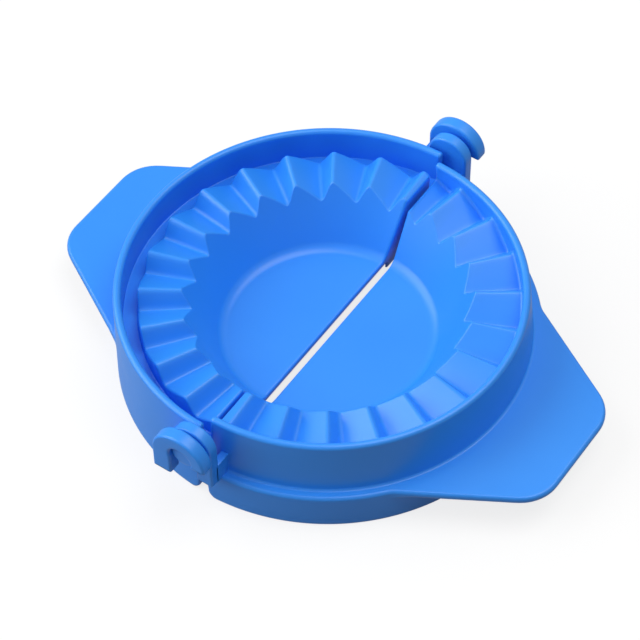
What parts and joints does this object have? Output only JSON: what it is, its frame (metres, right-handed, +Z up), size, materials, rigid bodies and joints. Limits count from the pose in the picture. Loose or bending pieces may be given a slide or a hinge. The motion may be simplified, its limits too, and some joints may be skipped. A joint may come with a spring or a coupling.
{
  "type": "empanada press",
  "caption": "Hinged plastic press of two nesting half dishes with pleated crimping rings, flat handles and snap hooks over pins, lying open.",
  "frame": {"origin": "on the table, under the middle of the hinge line, with the press lying open", "axes": "+Z up; +Y along the hinge; +X towards the handle of the half that carries the pins"},
  "size_m": [0.1304, 0.1106, 0.0269],
  "materials": {
    "blue_plastic": "glossy injection-moulded polypropylene"
  },
  "bodies": {
    "pin_half": {"pin_half_hollow": "blue_plastic", "pin_half_pleats": "blue_plastic", "pin_half_rim": "blue_plastic", "pin_half_handle": "blue_plastic", "pin_half_near_lug": "blue_plastic", "pin_half_far_lug": "blue_plastic"},
    "hook_half": {"hook_half_hollow": "blue_plastic", "hook_half_pleats": "blue_plastic", "hook_half_rim": "blue_plastic", "hook_half_handle": "blue_plastic", "hook_half_near_hook": "blue_plastic", "hook_half_far_hook": "blue_plastic"}
  },
  "joints": [
    {"name": "fold_hinge", "type": "hinge", "parent": "pin_half", "child": "hook_half", "pos_m": [0, 0, 0.0206], "axis": [0, 1, 0], "range_deg": [0, 180]}
  ]
}
